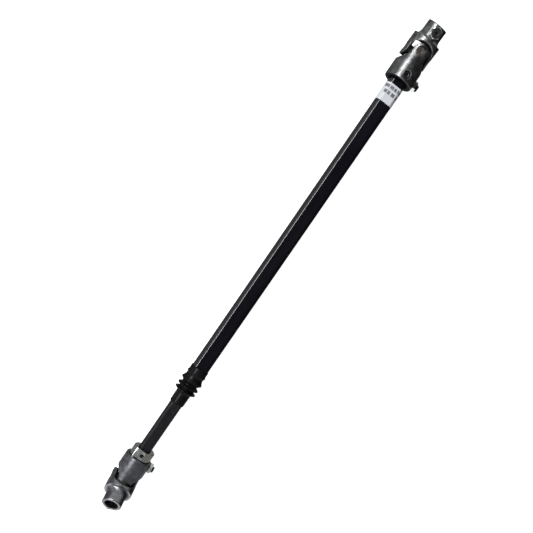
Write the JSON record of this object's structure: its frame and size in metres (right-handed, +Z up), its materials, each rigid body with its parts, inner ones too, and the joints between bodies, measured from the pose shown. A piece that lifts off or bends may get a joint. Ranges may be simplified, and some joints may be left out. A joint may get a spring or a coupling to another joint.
{
  "type": "universal joint shaft",
  "caption": "Telescopic double-D steering shaft with a rubber boot, a universal joint at each end and splined end yokes clamped by set screws.",
  "frame": {"origin": "under the middle of the shaft's box, on the surface it lies on", "axes": "+X along the shaft towards the upper joint, +Z up"},
  "size_m": [0.8094, 0.0502, 0.0636],
  "materials": {
    "yoke_steel": "satin dark forged steel",
    "bearing_steel": "turned bearing steel with brown heat tint",
    "roller_steel": "ground",
    "black_paint": "satin",
    "dark_steel": "drawn, oiled",
    "black_rubber": "matt moulded",
    "zinc_plate": "bright zinc plate",
    "black_oxide": "black oxide",
    "white_vinyl": "blank adhesive band"
  },
  "bodies": {
    "tube": {"outer_tube": "black_paint", "sliding_joint_boot": "black_rubber", "tube_label": "white_vinyl", "upper_tube_yoke": "yoke_steel", "upper_tube_yoke_bearing_cup_a": "bearing_steel", "upper_tube_yoke_bearing_cup_b": "bearing_steel", "upper_tube_yoke_cup_seal_a": "black_rubber", "upper_tube_yoke_cup_seal_b": "black_rubber", "upper_tube_yoke_front_set_screw": "black_oxide", "upper_tube_yoke_jam_nut": "zinc_plate", "upper_tube_yoke_needle_rollers_a": "roller_steel", "upper_tube_yoke_needle_rollers_b": "roller_steel", "upper_tube_yoke_side_set_screw": "black_oxide"},
    "bar": {"adapter_collar": "zinc_plate", "adapter_collar_screw": "black_oxide", "inner_shaft": "dark_steel", "lower_shaft_yoke": "yoke_steel", "lower_shaft_yoke_bearing_cup_a": "bearing_steel", "lower_shaft_yoke_bearing_cup_b": "bearing_steel", "lower_shaft_yoke_cup_seal_a": "black_rubber", "lower_shaft_yoke_cup_seal_b": "black_rubber", "lower_shaft_yoke_jam_nut": "zinc_plate", "lower_shaft_yoke_needle_rollers_a": "roller_steel", "lower_shaft_yoke_needle_rollers_b": "roller_steel", "lower_shaft_yoke_set_screw": "black_oxide"},
    "upper_cross": {"upper_cross": "bearing_steel"},
    "lower_cross": {"lower_cross": "bearing_steel"},
    "upper_end": {"upper_end_yoke": "yoke_steel", "upper_end_yoke_bearing_cup_a": "bearing_steel", "upper_end_yoke_bearing_cup_b": "bearing_steel", "upper_end_yoke_cup_seal_a": "black_rubber", "upper_end_yoke_cup_seal_b": "black_rubber", "upper_end_yoke_jam_nut": "zinc_plate", "upper_end_yoke_needle_rollers_a": "roller_steel", "upper_end_yoke_needle_rollers_b": "roller_steel", "upper_end_yoke_set_screw": "black_oxide"},
    "lower_end": {"lower_end_yoke": "yoke_steel", "lower_end_yoke_bearing_cup_a": "bearing_steel", "lower_end_yoke_bearing_cup_b": "bearing_steel", "lower_end_yoke_cup_seal_a": "black_rubber", "lower_end_yoke_cup_seal_b": "black_rubber", "lower_end_yoke_jam_nut": "zinc_plate", "lower_end_yoke_needle_rollers_a": "roller_steel", "lower_end_yoke_needle_rollers_b": "roller_steel", "lower_end_yoke_set_screw": "black_oxide"}
  },
  "joints": [
    {"name": "telescopic_slide", "type": "slide", "parent": "tube", "child": "bar", "axis": [-1, 0, 0], "range_m": [-0.08, 0.06]},
    {"name": "upper_cross_in_tube_yoke", "type": "hinge", "parent": "tube", "child": "upper_cross", "pos_m": [0.35878, 0.00333, 0.02063], "axis": [0, -0.1564, 0.9877], "range_deg": [-35, 35]},
    {"name": "upper_end_yoke_on_cross", "type": "hinge", "parent": "upper_cross", "child": "upper_end", "pos_m": [0.35878, 0.00333, 0.02063], "axis": [0, -0.9877, -0.1564], "range_deg": [-52, 18]},
    {"name": "lower_cross_in_shaft_yoke", "type": "hinge", "parent": "bar", "child": "lower_cross", "pos_m": [-0.36332, 0.00333, 0.02063], "axis": [0, -0.1564, 0.9877], "range_deg": [-18, 18]},
    {"name": "lower_end_yoke_on_cross", "type": "hinge", "parent": "lower_cross", "child": "lower_end", "pos_m": [-0.36332, 0.00333, 0.02063], "axis": [0, 0.9877, 0.1564], "range_deg": [-107, 1]}
  ]
}
